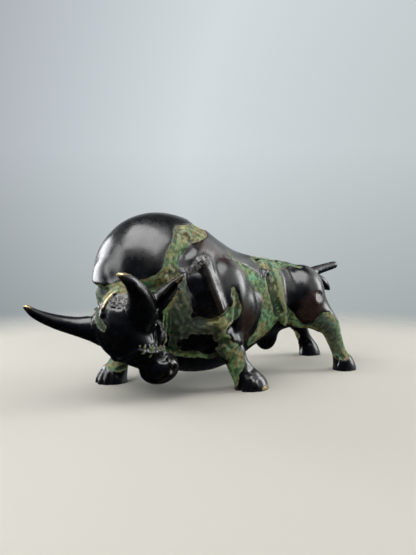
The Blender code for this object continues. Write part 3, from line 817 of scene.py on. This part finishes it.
def bronze_material():
    """Polished black-brown plates with rubbed crests, the patina sunk between them with painted shade and
    crest highlights, rubbed gold tips.
    """
    surface = bpy.data.materials.new("patinated bronze, finished")
    surface.use_nodes = True
    n = Nodes(surface.node_tree)
    shader = surface.node_tree.nodes["Principled BSDF"]
    place = n.add("ShaderNodeTexCoord").outputs["Object"]
    ragged = n.math("MULTIPLY_ADD", n.noise(place, 2, 3), 1, -0.5)
    distance = n.math("ADD", n.field("patina"), ragged)
    green = n.between(distance, 0.18, -0.18)
    rim = n.between(n.math("ABSOLUTE", n.math("ADD", distance, 0.2)), 0.5, 0.1)
    crest = n.field("crest")

    brown = n.between(n.field("brown"), 2.5, -2.5)
    dark = n.mix(brown, BLACK, BROWN)
    dark = n.mix(n.between(n.noise(place, 14, 4), 0.5, 0.75, 0, 0.4), dark, DUSK)
    patina = n.add("ShaderNodeGroup", node_tree=patina_group())
    n.join(place, patina.inputs[0])
    # painted shade: the patina darkened in its hollows
    hollow = n.between(crest, 0.02, -0.1, 0, 0.75)
    # painted highlight: the patina's crests lightened, less where shade is painted
    crest_highlight = n.between(crest, 0.05, 0.15, 0, 0.7)
    # painted shade: the patina darkened on the neck, throat and breast
    dim = n.between(n.field("dim"), 2.5, -2.5, 0, 0.86)
    shaded = n.mix(dim, patina.outputs[0], SHADE)
    shaded = n.mix(hollow, shaded, HOLLOW_SHADE)
    lit = n.math("MULTIPLY", crest_highlight, n.math("MULTIPLY_ADD", dim, -0.9, 1))
    shaded = n.mix(lit, shaded, CREST_HIGHLIGHT_COLOUR)
    colour = n.mix(green, dark, shaded)
    broken = n.between(n.noise(place, 3, 3), 0.45, 0.62, 0, 0.6)
    colour = n.mix(n.math("MULTIPLY", rim, broken), colour, RIM)
    rubbed = n.math("MULTIPLY", n.between(crest, 0.1, 0.2, 0, 0.16), n.math("SUBTRACT", 1, green))
    colour = n.mix(rubbed, colour, RUBBED)
    # pale scars, partly painted highlight: speckles standing for glints on the crumpled brow
    scratches_and_glints = n.between(n.noise(place, 1.6, 5, 0.7), 0.42, 0.56)
    scar_and_glint = n.math("MULTIPLY", n.between(n.field("scar_and_glint"), 1, -1), scratches_and_glints)
    colour = n.mix(scar_and_glint, colour, PALE_SCAR_AND_GLINT)
    bright = n.between(n.noise(place, 1.5, 3), 0.3, 0.55)
    gold = n.math("MULTIPLY", n.between(n.field("gold"), 0.7, -0.4), bright)
    colour = n.mix(gold, colour, GOLD)
    n.join(colour, shader.inputs["Base Color"])

    polish = n.between(n.noise(place, 6, 4), 0.3, 0.7, *POLISH)
    rough = n.math("MULTIPLY_ADD", green, PATINA_ROUGHNESS, polish)
    rough = n.math("MULTIPLY_ADD", scar_and_glint, 0.25, rough, clamp=True)
    n.join(rough, shader.inputs["Roughness"])
    n.join(n.math("MULTIPLY", gold, 0.8), shader.inputs["Metallic"])
    shader.inputs["Specular IOR Level"].default_value = SHINE

    grain = n.math("MULTIPLY", n.noise(place, 1.3, 5, 0.65), n.math("MAXIMUM", green, scar_and_glint))
    pits = n.math("MULTIPLY", n.noise(place, 0.7, 2), 0.03)
    bump = n.add("ShaderNodeBump")
    bump.inputs["Strength"].default_value = 0.9
    bump.inputs["Distance"].default_value = GRAIN_DEPTH
    height = n.math("SUBTRACT", grain, n.math("MULTIPLY", green, 0.5))
    n.join(n.math("ADD", height, pits), bump.inputs["Height"])
    n.join(bump.outputs["Normal"], shader.inputs["Normal"])
    return surface


def bull_piece():
    """The dressed bull, riding on the frame in place of the plain solid."""
    mesh = whole_bull()
    finish_surface(mesh)
    flat_soles(mesh)
    mesh.transform(Matrix.Translation(Vector(TO_CENTRE) * UNIT))
    mesh.materials.clear()
    mesh.materials.append(bronze_material())
    for face in mesh.polygons:
        face.use_smooth = True
    piece = bpy.data.objects.new("cast_bull", mesh)
    bpy.context.scene.collection.objects.link(piece)
    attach(piece, "root")
    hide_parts("bull")


def camera():
    """The photograph's view: from the bull's left front, a little above the top of its hump."""
    eye = bpy.data.cameras.new("camera")
    eye.sensor_width = 36
    eye.lens = LENS
    eye.clip_start = 0.01
    held = bpy.data.objects.new("camera", eye)
    held.location = (Vector(EYE_AT) + Vector(TO_CENTRE)) * UNIT
    held.rotation_euler = (math.radians(90 - EYE_DOWN), 0, math.radians(EYE_TURN))
    bpy.context.scene.collection.objects.link(held)
    bpy.context.scene.camera = held


def lamp(name, azimuth, elevation, distance, size, radiance, colour=(1, 1, 1), lights=True, shines=True):
    """A soft box of that size in metres, so far from the bull in that direction and facing it.

    Without lights it is only seen in polished surfaces, and without shines it is never seen in them.
    """
    turn, lift = math.radians(azimuth), math.radians(elevation)
    way = Vector((math.cos(turn) * math.cos(lift), math.sin(turn) * math.cos(lift), math.sin(lift)))
    light = bpy.data.lights.new(name, "AREA")
    light.shape = "RECTANGLE"
    light.size, light.size_y = size
    light.energy = radiance * math.pi * size[0] * size[1]
    light.color = colour
    held = bpy.data.objects.new(name, light)
    held.location = Vector(LAMPS_FACE) + way * distance
    held.rotation_euler = (-way).to_track_quat("-Z", "Y").to_euler()
    held.visible_camera = False
    held.visible_diffuse = lights
    held.visible_glossy = shines
    bpy.context.scene.collection.objects.link(held)


def floor():
    """A round pale floor whose edge fades out behind the bull."""
    flat = bpy.data.meshes.new("floor")
    clay = bmesh.new()
    bmesh.ops.create_circle(clay, cap_ends=True, segments=128, radius=FLOOR_RADIUS)
    clay.to_mesh(flat)
    clay.free()
    paint = bpy.data.materials.new("pale floor")
    paint.use_nodes = True
    n = Nodes(paint.node_tree)
    cream = paint.node_tree.nodes["Principled BSDF"]
    cream.inputs["Base Color"].default_value = (*FLOOR_CREAM, 1)
    cream.inputs["Roughness"].default_value = 0.8
    from_middle = n.add("ShaderNodeVectorMath", operation="LENGTH")
    n.join(n.add("ShaderNodeTexCoord").outputs["Object"], from_middle.inputs[0])
    fade = n.between(from_middle.outputs["Value"], FLOOR_RADIUS, FLOOR_RADIUS * FLOOR_FADE)
    n.join(fade, cream.inputs["Alpha"])
    flat.materials.append(paint)
    held = bpy.data.objects.new("floor", flat)
    held.visible_glossy = False
    bpy.context.scene.collection.objects.link(held)


def surround():
    """A wall of light behind the bull, brightest on the right, that polish mirrors in a dark room.

    What the eye meets beyond the floor is pale all round, so that no side shows the dark room.
    """
    world = bpy.data.worlds.new("pale surround")
    world.use_nodes = True
    n = Nodes(world.node_tree)
    side = n.add("ShaderNodeVectorMath", operation="DOT_PRODUCT")
    turn = math.radians(BRIGHT_SIDE)
    side.inputs[1].default_value = (math.cos(turn), math.sin(turn), 0)
    way = n.add("ShaderNodeTexCoord").outputs["Generated"]
    n.join(way, side.inputs[0])
    share = n.math("MULTIPLY_ADD", side.outputs["Value"], 0.5, 0.5)
    colour = n.ramp(share, *DARK_ROOM, *WALL)
    height = n.add("ShaderNodeSeparateXYZ")
    n.join(way, height.inputs[0])
    lift = n.math("MULTIPLY_ADD", height.outputs["Z"], 0.5, 0.5)
    shade = n.ramp(lift, (0.38, (0.04, 0.04, 0.04)), (0.41, (0.62, 0.64, 0.62)), (0.55, (1, 1, 1)),
                   (0.66, (1, 1, 1)), (0.8, (0.15, 0.15, 0.15)))
    colour = n.mix(1, colour, shade, "MULTIPLY")
    seen_shade = n.ramp(lift, (0.41, (0.62, 0.64, 0.62)), (0.55, (1, 1, 1)))
    seen = n.mix(1, n.ramp(share, *WALL), seen_shade, "MULTIPLY")
    seen = n.mix(n.between(lift, 0.41, 0.35), seen, FLOOR_FAR)
    colour = n.mix(n.add("ShaderNodeLightPath").outputs["Is Camera Ray"], colour, seen)
    n.join(colour, world.node_tree.nodes["Background"].inputs["Color"])
    bpy.context.scene.world = world


def studio():
    """Floor, surround and soft boxes: azimuth, elevation, distance, size and radiance of each."""
    floor()
    surround()
    lamp("overhead box", -175, 62, 0.8, (0.95, 0.75), 2, shines=False)
    lamp("its brighter middle", -170, 66, 0.79, (0.6, 0.45), 1.6, shines=False)
    lamp("soft light low on the left", -165, 34, 0.8, (0.5, 0.4), 2, shines=False)
    lamp("window behind on the left", 112, 10, 0.8, (0.34, 0.5), 8, (0.95, 0.98, 1))
    lamp("box on the right", -22, 16, 0.8, (0.3, 0.45), 8)
    lamp("wide dim box on the right", -8, 30, 0.9, (0.9, 0.7), 1.3)
    lamp("sheen of the hump", -150, 73, 0.78, (1.15, 0.66), 7.5, lights=False)
    lamp("sheen low on the hump", 156, 24, 0.78, (0.36, 0.45), 5, lights=False)
    lamp("sheen of shoulder and haunch", -62, 34, 0.78, (0.6, 0.55), 1.3, lights=False)
    bpy.context.scene.view_settings.view_transform = "Standard"


bull_piece()
camera()
studio()
